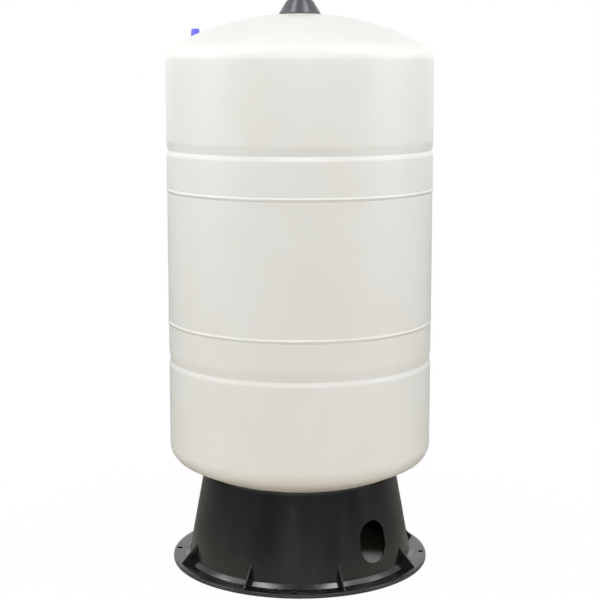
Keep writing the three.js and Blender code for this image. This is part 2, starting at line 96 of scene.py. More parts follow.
# ---- dimensions ----
def box(node):
    """Lowest and highest corner of a CAD node, in millimetres."""
    low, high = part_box(node)
    return low / MM, high / MM


def middle(node):
    """Centre of a CAD node."""
    low, high = box(node)
    return (low + high) / 2


def heights(node):
    """Lowest and highest Z of a CAD node."""
    low, high = box(node)
    return low.z, high.z


def radius_of(node):
    """Largest radius of a round CAD node about its own axis."""
    low, high = box(node)
    return (high.x - low.x) / 2


UPPER_R = radius_of("upper_head")
CENTRE_R = radius_of("centre_shell")
LOWER_R = radius_of("lower_head")
SHEET_T = 2.3
SHEET_GAP = 0.4
CROWN_R = 560.0
KNUCKLE_R = 42.0
UPPER_TANGENT_Z = 1064.4
LOWER_TANGENT_Z = 258.7
GROOVE_Z = {"upper": 882.3, "lower": 440.1}
GROOVE_DEPTH = 2.6
UPPER_EDGE_Z = heights("upper_head")[0]
CENTRE_EDGE_Z = heights("centre_shell")[0]
LAP = 14.6  # from a sheet's lower edge up to the top of the sheet inside it
WELD_DROP = 2.4  # from a sheet's lower edge down to the middle of its weld

STAND_TOP_Z = heights("base_stand")[1]
FLANGE_R = radius_of("base_stand")
FLANGE_T = 8.5
STAND_FOOT_R = 241.4
STAND_SLOPE = 0.1811
STAND_WALL = 4.05
COVE = 8.2
GUSSETS = 8
GUSSET_T = 2.8
GUSSET_TOP_Z = 48.3
GUSSET_TIP_R = 267.5
ANCHOR_CIRCLE_R = 262.5
ANCHOR_HOLE_R = 5.8
PIPE_HOLE_Z = 82.2
PIPE_HOLE_HALF_WIDTH = 35.0
PIPE_HOLE_HALF_HEIGHT = 43.2
SHELF_TOP_Z = 186.0
SHELF_T = 4.0
SHELF_INNER_R = 179.0
STUDS = (1, 2, 3)
STUD_HOLE_R = 4.7
STUD_PITCH = 1.25

NECK_R = 24.8
NECK_BORE_R = 18.5

VALVE = middle("valve_cap")
VALVE_SEAT_Z = 1110.8
VALVE_SEAT_R = 18.0
VALVE_BOSS_R = 12.4
VALVE_BORE_R = 5.4  # through the boss and its gasket
STEM_R = 3.85
THREAD_PITCH = 0.794  # the cap's joint rises by this much each turn

SOFT = 38  # degrees past which an edge stays crisp
CRISP = 25  # the same on a part cut from a metal bar
THREAD_SOFT = 60  # the same on a thread
COARSE = 30.0  # longest stretch of a large outline


# ---- outlines in the radius-height plane ----
def arc(centre, radius, start, end, steps, up=1):
    """Points round a centre; angles in degrees from straight up (or down) outwards."""
    points = []
    for i in range(steps + 1):
        a = math.radians(start + (end - start) * i / steps)
        points.append((centre[0] + radius * math.sin(a), centre[1] + up * radius * math.cos(a)))
    return points


def rounded(corners, steps=5):
    """An open outline from (radius, height, fillet) corners."""
    points = [corners[0][:2]]
    for before, corner, after in zip(corners, corners[1:], corners[2:]):
        here = Vector(corner[:2])
        back = Vector(before[:2]) - here
        on = Vector(after[:2]) - here
        fillet = corner[2]
        half = back.angle(on) / 2
        if fillet == 0 or abs(math.pi / 2 - half) < 1e-4:
            points.append(tuple(here))
            continue
        reach = min(fillet / math.tan(half), 0.49 * back.length, 0.49 * on.length)
        radius = reach * math.tan(half)
        back.normalize()
        on.normalize()
        centre = here + (back + on).normalized() * (radius / math.sin(half))
        first = here + back * reach - centre
        last = here + on * reach - centre
        sweep = first.angle_signed(last)
        for i in range(steps + 1):
            points.append(tuple(centre + Matrix.Rotation(-sweep * i / steps, 2) @ first))
    points.append(corners[-1][:2])
    return points


def rounded_loop(corners, steps=5):
    """A closed outline from (radius, height, fillet) corners."""
    return rounded([corners[-1], *corners, corners[0]], steps)[1:-1]


def bar(radius, low, high, low_fillet=0, high_fillet=0, steps=4):
    """Outline of a plain round bar."""
    return rounded([
        (0.0, low, 0),
        (radius, low, low_fillet),
        (radius, high, high_fillet),
        (0.0, high, 0),
    ], steps)


def rounded_lip(size, steps):
    """How far a hole's rounded edge stands out from the hole, and how deep it is in the wall,
    from its outer end inwards."""
    angles = [math.radians(14 + 76 * i / steps) for i in range(steps + 1)]
    return [(size * (1 - math.sin(a)), size * (1 - math.cos(a))) for a in angles]


ON_AXIS = 1e-6


def is_open(outline):
    """Whether an outline starts on the axis, and so isn't a closed loop."""
    return outline[0][0] < ON_AXIS


def refined(points, longest):
    """The same outline, with no stretch longer than that."""
    result = []
    for a, b in zip(points, points[1:] + ([] if is_open(points) else points[:1])):
        count = max(1, math.ceil(math.dist(a, b) / longest))
        for i in range(count):
            t = i / count
            result.append((a[0] + (b[0] - a[0]) * t, a[1] + (b[1] - a[1]) * t))
    return result + points[-1:] if is_open(points) else result


def smooth_step(value):
    t = min(1.0, max(0.0, value))
    return t * t * (3 - 2 * t)


# ---- mesh helpers ----
def shade(mesh, sharp):
    """Smooth shading, with the edges past `sharp` degrees left crisp."""
    mesh.shade_smooth()
    mesh.set_sharp_from_angle(angle=math.radians(sharp))


def new_piece(name, bm, sharp=SOFT):
    """A smooth-shaded object from a mesh in millimetres."""
    bmesh.ops.recalc_face_normals(bm, faces=bm.faces)
    bmesh.ops.scale(bm, vec=(MM, MM, MM), verts=bm.verts)
    mesh = bpy.data.meshes.new(name)
    bm.to_mesh(mesh)
    bm.free()
    shade(mesh, sharp)
    obj = bpy.data.objects.new(name, mesh)
    bpy.context.scene.collection.objects.link(obj)
    return obj


def turns(count):
    """Evenly spaced azimuths, in degrees."""
    return [360.0 * i / count for i in range(count)]


def bridge(bm, first, second):
    """Adds the faces between two rings of as many points, and returns them."""
    faces = []
    for i in range(len(first)):
        j = (i + 1) % len(first)
        faces.append(bm.faces.new((first[i], first[j], second[j], second[i])))
    return faces


def capped_tube(bm, rings):
    """Adds the faces along a row of rings, and closes both ends."""
    for first, second in zip(rings, rings[1:]):
        bridge(bm, first, second)
    bm.faces.new(rings[0][::-1])
    bm.faces.new(rings[-1])


def revolve(bm, outline, azimuths, place=(0.0, 0.0), shape=None):
    """Adds an outline turned about the vertical line at `place`. It closes on itself, unless
    it starts on the axis. `shape` may move each point."""
    rings = []
    for radius, height in outline:
        if radius < ON_AXIS:
            rings.append([bm.verts.new((place[0], place[1], height))])
            continue
        ring = []
        for azimuth in azimuths:
            r, z = shape(radius, height, azimuth) if shape else (radius, height)
            at = on_circle(r, azimuth, z)
            ring.append(bm.verts.new((place[0] + at.x, place[1] + at.y, at.z)))
        rings.append(ring)
    for low, high in zip(rings, rings[1:] + ([] if is_open(outline) else rings[:1])):
        if len(low) == len(high):
            bridge(bm, low, high)
            continue
        for i in range(len(azimuths)):
            j = (i + 1) % len(azimuths)
            if len(low) == 1:
                bm.faces.new((low[0], high[j], high[i]))
            else:
                bm.faces.new((low[i], low[j], high[0]))


def turned(name, outline, segments=96, place=(0.0, 0.0), shape=None, sharp=SOFT):
    bm = bmesh.new()
    revolve(bm, outline, turns(segments), place, shape)
    return new_piece(name, bm, sharp)


def combine(target, tool, operation, sharp=SOFT):
    """Applies a boolean to the target and removes the tool."""
    modifier = target.modifiers.new("combine", "BOOLEAN")
    modifier.operation = operation
    modifier.object = tool
    modifier.solver = "EXACT"
    depsgraph = bpy.context.evaluated_depsgraph_get()
    mesh = bpy.data.meshes.new_from_object(target.evaluated_get(depsgraph))
    target.modifiers.clear()
    target.data = mesh
    shade(mesh, sharp)
    bpy.data.objects.remove(tool)
    return target


def hexagon(name, corner_r, low, high, place=(0.0, 0.0), chamfer=1.2):
    """A hexagonal bar whose corners are turned off to a cone at both ends."""
    bm = bmesh.new()
    corners = [on_circle(corner_r, azimuth) for azimuth in turns(6)]
    ends = []
    for z in (low, high):
        ends.append([bm.verts.new((place[0] + p.x, place[1] + p.y, z)) for p in corners])
    capped_tube(bm, ends)
    sides = [e for e in bm.edges if abs(e.verts[0].co.z - e.verts[1].co.z) > 0.1]
    bmesh.ops.bevel(bm, geom=sides, offset=0.35, segments=2, affect="EDGES", profile=0.5)
    blank = new_piece(name, bm, CRISP)
    flat_r = corner_r * math.cos(math.pi / 6)
    over = 0.4  # the cone's reach inside the flats and outside the corners
    cone = rounded([
        (0.0, low, 0),
        (flat_r - over, low, 0.3),
        (corner_r + over, low + chamfer, 0.3),
        (corner_r + over, high - chamfer, 0.3),
        (flat_r - over, high, 0.3),
        (0.0, high, 0),
    ], 3)
    envelope = turned("envelope", cone, place=place)
    return combine(blank, envelope, "INTERSECT", CRISP)


def threaded(crest_r, low, high, depth, pitch=THREAD_PITCH, fade=1.0, flat=0.125):
    """A shape for revolve() that cuts a helical thread into its points at that crest radius.
    `flat` is the share of a flank's run that is level at its crest and at its root."""

    def shape(radius, height, azimuth):
        if radius < crest_r - 0.05 or not low <= height <= high:
            return radius, height
        phase = (height / pitch + azimuth / 360.0) % 1.0
        ridge = abs(2 * phase - 1)
        ends = smooth_step((height - low) / fade) * smooth_step((high - height) / fade)
        return radius - depth * ends * smooth_step((1 + 2 * flat) * ridge - flat), height

    return shape


def swept(name, outline, centreline, segments):
    """A closed outline of (distance, radius) points round a bending centreline, which gives
    for each distance a point, and the two directions across it."""
    bm = bmesh.new()
    rings = []
    for distance, radius in outline:
        point, side, across = centreline(distance)
        ring = []
        for azimuth in turns(segments):
            a = math.radians(azimuth)
            ring.append(bm.verts.new(point + radius * (math.cos(a) * side + math.sin(a) * across)))
        rings.append(ring)
    for first, second in zip(rings, rings[1:] + rings[:1]):
        bridge(bm, first, second)
    return new_piece(name, bm)


# ---- materials ----
class Nodes:
    """Short ways to build a node tree."""

    def __init__(self, tree):
        self.tree = tree

    def node(self, kind, **settings):
        made = self.tree.nodes.new(kind)
        for key, value in settings.items():
            setattr(made, key, value)
        return made

    def link(self, output, socket):
        self.tree.links.new(output, socket)

    def ranged(self, value, low, high, to_low=0.0, to_high=1.0):
        """Carries the range from low to high smoothly over to the other two."""
        node = self.node("ShaderNodeMapRange", interpolation_type="SMOOTHSTEP")
        limits = (("From Min", low), ("From Max", high), ("To Min", to_low), ("To Max", to_high))
        for socket, number in limits:
            node.inputs[socket].default_value = number
        self.link(value, node.inputs["Value"])
        return node.outputs["Result"]

    def mixed(self, factor, first, second):
        """Between two colours or colour outputs."""
        node = self.node("ShaderNodeMix", data_type="RGBA")
        self.link(factor, node.inputs["Factor"])
        for socket, colour in (("A", first), ("B", second)):
            slot = [i for i in node.inputs if i.name == socket and i.type == "RGBA"][0]
            if isinstance(colour, tuple):
                slot.default_value = (*colour, 1.0)
            else:
                self.link(colour, slot)
        return [o for o in node.outputs if o.type == "RGBA"][0]

    def paired(self, operation, a, b):
        node = self.node("ShaderNodeMath", operation=operation)
        self.link(a, node.inputs[0])
        self.link(b, node.inputs[1])
        return node.outputs["Value"]

    def against(self, operation, vector, constant):
        """A number from a vector output and a constant vector."""
        node = self.node("ShaderNodeVectorMath", operation=operation)
        self.link(vector, node.inputs[0])
        node.inputs[1].default_value = constant
        return node.outputs["Value"]

    def shaders_mixed(self, factor, first, second, output):
        """Sends the first shader to the output where the factor is 0, and the second at 1."""
        mix = self.node("ShaderNodeMixShader")
        self.link(factor, mix.inputs["Fac"])
        self.link(first, mix.inputs[1])
        self.link(second, mix.inputs[2])
        self.link(mix.outputs["Shader"], self.tree.nodes[output].inputs["Surface"])


class Look(Nodes):
    """One procedural material, in metres of the row frame, built up a layer at a time."""

    def __init__(self, name, **constants):
        self.material = bpy.data.materials.new(name)
        self.material.use_nodes = True
        super().__init__(self.material.node_tree)
        self.shader = self.tree.nodes["Principled BSDF"]
        self.place = self.tree.nodes.new("ShaderNodeTexCoord").outputs["Object"]
        self.normal = None
        for socket, value in constants.items():
            self.shader.inputs[socket.replace("_", " ")].default_value = value

    def noise(self, scale, detail=4.0, roughness=0.55, stretch=(1, 1, 1)):
        """Noise with about `scale` features to the metre."""
        mapping = self.node("ShaderNodeMapping")
        mapping.inputs["Scale"].default_value = stretch
        self.link(self.place, mapping.inputs["Vector"])
        texture = self.node("ShaderNodeTexNoise")
        texture.inputs["Scale"].default_value = scale
        texture.inputs["Detail"].default_value = detail
        texture.inputs["Roughness"].default_value = roughness
        self.link(mapping.outputs["Vector"], texture.inputs["Vector"])
        return texture.outputs["Fac"]

    def specks(self, scale, size):
        """1 on sparse small spots and 0 elsewhere."""
        texture = self.node("ShaderNodeTexVoronoi")
        texture.inputs["Scale"].default_value = scale
        self.link(self.place, texture.inputs["Vector"])
        return self.ranged(texture.outputs["Distance"], size * 0.6, size, 1.0, 0.0)

    def bump(self, value, depth, strength=1.0):
        """Adds relief of that depth in millimetres."""
        node = self.node("ShaderNodeBump")
        node.inputs["Strength"].default_value = strength
        node.inputs["Distance"].default_value = depth * MM
        self.link(value, node.inputs["Height"])
        if self.normal is not None:
            self.link(self.normal, node.inputs["Normal"])
        self.normal = node.outputs["Normal"]
        self.link(self.normal, self.shader.inputs["Normal"])

    def colour(self, output):
        self.link(output, self.shader.inputs["Base Color"])

    def tones(self, noise, dark, light, low=0.3):
        """A base colour that drifts between two tones with a noise."""
        self.colour(self.mixed(self.ranged(noise, low, 0.7), dark, light))

    def gloss(self, noise, low, high):
        """A roughness that drifts between two values with a noise."""
        self.link(self.ranged(noise, 0.3, 0.7, low, high), self.shader.inputs["Roughness"])


def painted_shell():
    """Satin powder coat: faint orange peel, slow drift in tone, a trace of dust flecks."""
    look = Look("painted_shell", Coat_Weight=0.12, Coat_Roughness=0.3, Specular_IOR_Level=0.45)
    drift = look.ranged(look.noise(5.0, 3.0), 0.35, 0.65)
    tone = look.mixed(drift, (0.885, 0.862, 0.805), (0.9, 0.884, 0.838))
    fleck = look.specks(260.0, 0.05)
    look.colour(look.mixed(fleck, tone, (0.8, 0.77, 0.7)))
    look.gloss(look.noise(40.0), 0.36, 0.47)
    look.bump(look.noise(9.0, 2.0), 0.35, 0.5)
    look.bump(look.noise(420.0, 2.0), 0.035, 0.8)
    return look.material


def black_plastic():
    """Glossy moulded polypropylene: flow streaks up the wall, fine scuffs and dust specks."""
    look = Look("black_plastic", Specular_IOR_Level=0.8)
    streaks = look.noise(16.0, 3.0, 0.5, (1.0, 1.0, 0.07))
    cloud = look.noise(9.0, 3.0)
    share = look.ranged(streaks, 0.35, 0.7)
    tone = look.mixed(share, (0.003, 0.003, 0.0033), (0.005, 0.0047, 0.0048))
    dusty = look.ranged(look.noise(9.0), 0.5, 0.62)
    dust = look.paired("MULTIPLY", look.specks(60.0, 0.045), dusty)
    look.colour(look.mixed(dust, tone, (0.12, 0.12, 0.12)))
    gloss = look.ranged(streaks, 0.3, 0.75, 0.2, 0.3)
    look.link(gloss, look.shader.inputs["Roughness"])
    look.bump(streaks, 0.1, 0.3)
    look.bump(cloud, 0.3, 0.3)
    look.bump(look.noise(1500.0, 2.0), 0.003, 0.5)
    return look.material


def grey_plastic():
    """Satin moulded plastic of the crown's cover."""
    look = Look("grey_plastic", Specular_IOR_Level=0.8)
    look.tones(look.noise(60.0, 5.0), (0.078, 0.076, 0.089), (0.096, 0.094, 0.107))
    look.gloss(look.noise(130.0), 0.3, 0.34)
    look.bump(look.noise(1800.0, 2.0), 0.005, 0.5)
    return look.material


def blue_plastic():
    """Slightly translucent moulded cap."""
    look = Look("blue_plastic", Subsurface_Weight=0.12, Subsurface_Scale=0.002)
    look.tones(look.noise(220.0), (0.13, 0.13, 0.86), (0.17, 0.17, 0.92))
    look.gloss(look.noise(400.0, 3.0), 0.3, 0.42)
    look.bump(look.noise(2400.0, 2.0), 0.01, 0.6)
    return look.material


def metal(name, dark, light, low, high, grain, relief=0.01):
    """A bare metal whose tone and gloss drift with its grain."""
    look = Look(name, Metallic=1.0)
    fine = look.noise(grain, 4.0, 0.6)
    look.tones(look.noise(grain / 12.0, 5.0), dark, light)
    look.gloss(fine, low, high)
    look.bump(fine, relief, 0.6)
    return look.material


def black_rubber():
    """Matte rubber with a greyish bloom."""
    look = Look("black_rubber", Specular_IOR_Level=0.35, Sheen_Weight=0.15)
    look.tones(look.noise(16.0, 5.0), (0.017, 0.017, 0.018), (0.036, 0.035, 0.034), 0.45)
    look.gloss(look.noise(90.0), 0.55, 0.75)
    look.bump(look.noise(900.0, 3.0), 0.02, 0.7)
    return look.material


def liner_plastic():
    """Milky blow-moulded sheet."""
    look = Look("liner_plastic", Subsurface_Weight=0.2, Subsurface_Scale=0.004)
    look.tones(look.noise(10.0), (0.74, 0.79, 0.83), (0.82, 0.85, 0.87))
    look.gloss(look.noise(50.0), 0.35, 0.5)
    look.bump(look.noise(600.0, 2.0), 0.02, 0.6)
    return look.material


METALS = (
    ("bare_steel", (0.42, 0.42, 0.41), (0.6, 0.6, 0.58), 0.28, 0.48, 500.0),
    ("stainless", (0.55, 0.55, 0.54), (0.68, 0.68, 0.67), 0.22, 0.4, 700.0, 0.03),
    ("brass", (0.62, 0.44, 0.17), (0.78, 0.6, 0.29), 0.2, 0.36, 600.0),
)
OTHERS = (painted_shell, black_plastic, grey_plastic, blue_plastic, black_rubber, liner_plastic)
LOOKS = {make.__name__: make() for make in OTHERS}
for slot_name, *values in METALS:
    LOOKS[slot_name] = metal(slot_name, *values)


def finished(obj, slot, *nodes, body="tank"):
    """Gives a piece its material, its body, and the CAD nodes it stands for."""
    obj.data.materials.clear()
    obj.data.materials.append(LOOKS[slot])
    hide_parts(*nodes)
    if body is not None:
        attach(obj, body)
    return obj


# ---- tank ----
def head_curve(radius, tangent_z, up, hole, inset=0.0):
    """Outline of a dished head, from its central hole out to its cylinder."""
    centre = radius - KNUCKLE_R
    turn = math.degrees(math.asin(centre / (CROWN_R - KNUCKLE_R)))
    crown_centre = tangent_z - up * (CROWN_R - KNUCKLE_R) * math.cos(math.radians(turn))
    start = math.degrees(math.asin(hole / CROWN_R))
    crown = arc((0.0, crown_centre), CROWN_R - inset, start, turn, 22, up)
    knuckle = arc((centre, tangent_z), KNUCKLE_R - inset, turn, 90, 14, up)
    return crown[:-1] + knuckle


def dome_height(radius):
    """Height of the upper head's crown, outside, at a radius."""
    centre = UPPER_R - KNUCKLE_R
    crown_z = UPPER_TANGENT_Z - math.sqrt((CROWN_R - KNUCKLE_R) ** 2 - centre**2)
    return crown_z + math.sqrt(CROWN_R**2 - radius**2)


def groove(radius, height):
    """The rolled groove, from above it to below it: a long flank, a tight root, a short flank."""
    return rounded([
        (radius, height + 34, 0),
        (radius, height + 19, 60),
        (radius - GROOVE_DEPTH, height, 2.2),
        (radius, height - 9, 16),
        (radius, height - 18, 0),
    ], 6)


def lapped(radius, outer_radius, edge_z, inset=0.0):
    """Top edge of a sheet, set in so that it fits inside the sheet above it."""
    lap_r = outer_radius - SHEET_T - SHEET_GAP - inset
    return rounded([
        (lap_r, edge_z + LAP, 0),
        (lap_r, edge_z - 2, 6),
        (radius - inset, edge_z - 7, 6),
        (radius - inset, edge_z - 14, 0),
    ], 4)


TANK_TURNS = 256
INNER_TURNS = 192


def press_valve_seat(bm):
    """Sinks the flat round seat of the air valve into the upper head."""
    axis = VALVE.xy
    blend_r = VALVE_SEAT_R + 10
    fine_r = blend_r + 8

    def near(vert):
        return vert.co.z > UPPER_TANGENT_Z and (vert.co.xy - axis).length < fine_r

    edges = [e for e in bm.edges if near(e.verts[0]) and near(e.verts[1])]
    bmesh.ops.subdivide_edges(bm, edges=edges, cuts=6, use_grid_fill=True)
    for vert in bm.verts:
        if not near(vert):
            continue
        dome = dome_height(vert.co.xy.length)
        inside = vert.co.z < dome - SHEET_T / 2
        share = smooth_step(((vert.co.xy - axis).length - VALVE_SEAT_R) / (blend_r - VALVE_SEAT_R))
        pressed = min(dome, VALVE_SEAT_Z + (dome - VALVE_SEAT_Z) * share)
        drop = SHEET_T * 1.08 if inside else 0.0
        vert.co.z = pressed - drop


def upper_dome():
    hole = radius_of("crown_boss") + SHEET_GAP
    outside = head_curve(UPPER_R, UPPER_TANGENT_Z, 1, hole)
    inside = head_curve(UPPER_R, UPPER_TANGENT_Z, 1, hole, SHEET_T)
    outline = [
        *outside,
        *groove(UPPER_R, GROOVE_Z["upper"]),
        (UPPER_R, UPPER_EDGE_Z + 0.5),
        (UPPER_R - 0.5, UPPER_EDGE_Z),
        (UPPER_R - SHEET_T, UPPER_EDGE_Z),
        *groove(UPPER_R - SHEET_T, GROOVE_Z["upper"])[::-1],
        *inside[::-1],
    ]
    bm = bmesh.new()
    revolve(bm, refined(outline, COARSE), turns(TANK_TURNS))
    press_valve_seat(bm)
    dome = new_piece("upper_dome", bm)
    clear = 30  # the cutter's reach above and below the seat
    bore_outline = bar(VALVE_BOSS_R, VALVE_SEAT_Z - clear, VALVE_SEAT_Z + clear)
    bore = turned("bore", bore_outline, 64, VALVE)
    combine(dome, bore, "DIFFERENCE")
    finished(dome, "painted_shell", "upper_head")


def middle_barrel():
    outside = lapped(CENTRE_R, UPPER_R, UPPER_EDGE_Z)
    inside = lapped(CENTRE_R, UPPER_R, UPPER_EDGE_Z, SHEET_T)
    outline = [
        *outside,
        (CENTRE_R, CENTRE_EDGE_Z + 0.5),
        (CENTRE_R - 0.5, CENTRE_EDGE_Z),
        (CENTRE_R - SHEET_T, CENTRE_EDGE_Z),
        *inside[::-1],
    ]
    barrel = turned("middle_barrel", refined(outline, COARSE), TANK_TURNS)
    finished(barrel, "painted_shell", "centre_shell")


def lower_dome():
    neck_hole = NECK_R + SHEET_GAP
    outside = head_curve(LOWER_R, LOWER_TANGENT_Z, -1, neck_hole)
    inside = head_curve(LOWER_R, LOWER_TANGENT_Z, -1, neck_hole, SHEET_T)
    outline = [
        *outside,
        *groove(LOWER_R, GROOVE_Z["lower"])[::-1],
        *lapped(LOWER_R, CENTRE_R, CENTRE_EDGE_Z)[::-1],
        *lapped(LOWER_R, CENTRE_R, CENTRE_EDGE_Z, SHEET_T),
        *groove(LOWER_R - SHEET_T, GROOVE_Z["lower"]),
        *inside[::-1],
    ]
    dome = turned("lower_dome", refined(outline, COARSE), TANK_TURNS)
    finished(dome, "painted_shell", "lower_head")


def weld_bead(name, node, outer_r, inner_r, edge_z):
    """The painted fillet weld under a sheet's edge, with its fine ripple and slight wander."""
    z = edge_z - WELD_DROP
    leg = 4.6  # half the weld's height
    sunk = 1.2  # how far it is let into the sheets
    outline = rounded_loop([
        (outer_r - sunk, z + leg, 0),
        (outer_r + 0.05, z + leg, 2),
        (outer_r + 1.25, z + 0.8, 1.4),
        (inner_r + 0.1, z - leg, 2),
        (inner_r - sunk, z - leg, 0),
    ], 6)
    ripples = 430

    def wave(size, count, azimuth, start=0):
        return size * math.sin(math.radians(count * azimuth + start))

    def shape(radius, height, azimuth):
        proud = smooth_step((radius - inner_r) / 1.5)
        wander = wave(0.22, 7, azimuth) + wave(0.14, 19, azimuth, 40)
        return radius + proud * wave(0.05, ripples, azimuth), height + proud * wander

    weld = turned(name, outline, 4 * ripples, shape=shape)
    finished(weld, "painted_shell", node)


# ---- stand ----
def wall_radius(height):
    return STAND_FOOT_R - STAND_SLOPE * height


def stand_outline():
    top_r = wall_radius(STAND_TOP_Z)
    foot_r = wall_radius(FLANGE_T + COVE)
    shelf_low = SHELF_TOP_Z - SHELF_T

    def inner(height):
        return wall_radius(height) - STAND_WALL

    part_z = FLANGE_T / 2  # the mould's parting line round the flange's edge
    corners = [
        (inner(0), 0.0, 0.6),
        (FLANGE_R - 0.3, 0.0, 1.0),
        (FLANGE_R - 0.1, part_z - 0.4, 0.1),
        (FLANGE_R + 0.15, part_z, 0.15),
        (FLANGE_R - 0.1, part_z + 0.4, 0.1),
        (FLANGE_R - 0.2, FLANGE_T, 3.0),
        (foot_r + COVE, FLANGE_T, 1.0),
        (foot_r, FLANGE_T + COVE, 0.4),
        (top_r, STAND_TOP_Z, 0.9),
        (top_r - 3.9, STAND_TOP_Z - 1.6, 0.6),
        (inner(SHELF_TOP_Z), SHELF_TOP_Z, 2.0),
        (SHELF_INNER_R, SHELF_TOP_Z, 0.8),
        (SHELF_INNER_R, shelf_low, 0.8),
        (inner(shelf_low), shelf_low, 2.5),
    ]
    return refined(rounded_loop(corners), 9.0)


def gusset(bm, azimuth):
    """Adds one triangular fin with rounded edges."""
    fall = (GUSSET_TOP_Z - FLANGE_T) / (GUSSET_TIP_R - wall_radius(GUSSET_TOP_Z))
    sunk = 2.0
    outline = [
        (wall_radius(0) - sunk, FLANGE_T - sunk),
        (GUSSET_TIP_R + sunk / fall, FLANGE_T - sunk),
        (wall_radius(GUSSET_TOP_Z) - sunk, GUSSET_TOP_Z + sunk * fall),
    ]
    across = on_circle(1.0, azimuth + 90)
    sides = []
    for side in (-0.5, 0.5):
        offset = across * (GUSSET_T * side)
        sides.append([bm.verts.new(on_circle(r, azimuth, z) + offset) for r, z in outline])
    faces = [bm.faces.new(sides[0]), bm.faces.new(sides[1][::-1]), *bridge(bm, *sides)]
    edges = {e for f in faces for e in f.edges}
    bmesh.ops.bevel(bm, geom=list(edges), offset=0.7, segments=3, affect="EDGES", profile=0.5)


def pipe_hole(bm):
    """Adds the cutter of the pipe hole. It flares at the wall's two faces, so it leaves rounded
    edges there."""
    straight = PIPE_HOLE_HALF_HEIGHT - PIPE_HOLE_HALF_WIDTH
    lip = 1.3
    over = 8  # the cutter's reach past the wall's faces
    rim = arc((0, straight), PIPE_HOLE_HALF_WIDTH, -90, 90, 36)
    rim += arc((0, -straight), PIPE_HOLE_HALF_WIDTH, 90, 270, 36)

    def ring(grow, depth, wall):
        """One ring of the cutter, that far outside the rim and that deep in the wall."""
        verts = []
        for x, z in rim:
            end = math.copysign(straight, z)
            scale = 1 + grow / PIPE_HOLE_HALF_WIDTH
            px = x * scale
            pz = PIPE_HOLE_Z + end + (z - end) * scale
            surface = math.sqrt((wall_radius(pz) - wall) ** 2 - px**2)
            verts.append(bm.verts.new((px, -surface + depth, pz)))
        return verts

    edge = rounded_lip(lip, 5)
    rings = [ring(lip + 6, -over, 0)]
    rings += [ring(grow, depth, 0) for grow, depth in edge]
    rings += [ring(grow, -depth, STAND_WALL) for grow, depth in edge[::-1]]
    rings.append(ring(lip + 6, over, STAND_WALL))
    capped_tube(bm, rings)


def drilled(bm, place, radius, low, high, lip=0.7):
    """Adds the cutter of a round hole whose two edges come out rounded."""
    over = 3  # the cutter's reach past the plate's faces
    wide = radius + lip + 2
    edge = rounded_lip(lip, 4)
    outline = [(0.0, low - over), (wide, low - over)]
    outline += [(radius + grow, low + depth) for grow, depth in edge]
    outline += [(radius + grow, high - depth) for grow, depth in edge[::-1]]
    outline += [(wide, high + over), (0.0, high + over)]
    revolve(bm, outline, turns(48), place=place)


KNIT_LINES = (-45.0, 45.0, 135.0, 225.0)  # azimuths where the plastic's flow fronts met
KNIT_PROUD = 0.22
KNIT_HALF_WIDTH = 0.17  # degrees
KNIT_REACH = 0.6  # degrees


def knit_line(radius, height, azimuth):
    """A hair-fine ridge up the outside of the wall at each knit line."""
    wall = wall_radius(height)
    if not GUSSET_TOP_Z * 0.5 < height < STAND_TOP_Z - 6 or radius < wall - 0.5:
        return radius, height
    for line in KNIT_LINES:
        apart = abs((azimuth - line + 180) % 360 - 180)
        if apart < KNIT_REACH:
            fade = 0.5 + 0.5 * math.sin(height / 17.0 + line)
            radius += KNIT_PROUD * fade * math.exp(-((apart / KNIT_HALF_WIDTH) ** 2))
    return radius, height


def stand_moulding():
    fine = [line + 0.12 * k for line in KNIT_LINES for k in range(-4, 5)]
    azimuths = sorted({round(a % 360, 4) for a in turns(288) + fine})
    bm = bmesh.new()
    revolve(bm, stand_outline(), azimuths, shape=knit_line)
    stand = new_piece("stand_moulding", bm)
    fins = bmesh.new()
    for i in range(GUSSETS):
        gusset(fins, (i + 0.5) * 360 / GUSSETS)
    combine(stand, new_piece("fins", fins), "UNION")
    cutters = bmesh.new()
    pipe_hole(cutters)
    for i in range(4):
        drilled(cutters, on_circle(ANCHOR_CIRCLE_R, 45 + 90 * i), ANCHOR_HOLE_R, 0, FLANGE_T)
    for number in STUDS:
        place = middle(f"base_stud_{number}")
        drilled(cutters, place, STUD_HOLE_R, SHELF_TOP_Z - SHELF_T, SHELF_TOP_Z, 0.4)
    combine(stand, new_piece("cutters", cutters), "DIFFERENCE")
    finished(stand, "black_plastic", "base_stand")


def hold_down_stud(name, node):
    low, high = heights(node)
    radius = radius_of(node)
    outline = refined(bar(radius, low, high, 1.0, 0.3, 3), 0.2)
    shape = threaded(radius, low + 0.8, high - 1, 0.55, STUD_PITCH)
    stud = turned(name, outline, 40, middle(node), shape, THREAD_SOFT)
    finished(stud, "bare_steel", node)


def hold_down_nut(name, node):
    """A flanged hexagon nut."""
    low, high = heights(node)
    place = middle(node)
    flange_z = high - 2.0
    bore_r = 4.25
    mouth_r = 5.2
    nut = hexagon(name, 7.5, low, high - 1.0, place, 0.8)
    washer_face = turned("washer_face", rounded([
        (0.0, flange_z, 0),
        (8.6, flange_z, 0.5),
        (9.0, high, 0.4),
        (0.0, high, 0),
    ], 3), 64, place)
    combine(nut, washer_face, "UNION", CRISP)
    bore = turned("bore", [
        (0.0, low - 2),
        (mouth_r, low - 2),
        (mouth_r, low),
        (bore_r, low + 0.9),
        (bore_r, high + 1),
        (0.0, high + 1),
    ], 48, place)
    combine(nut, bore, "DIFFERENCE", CRISP)
    finished(nut, "bare_steel", node)


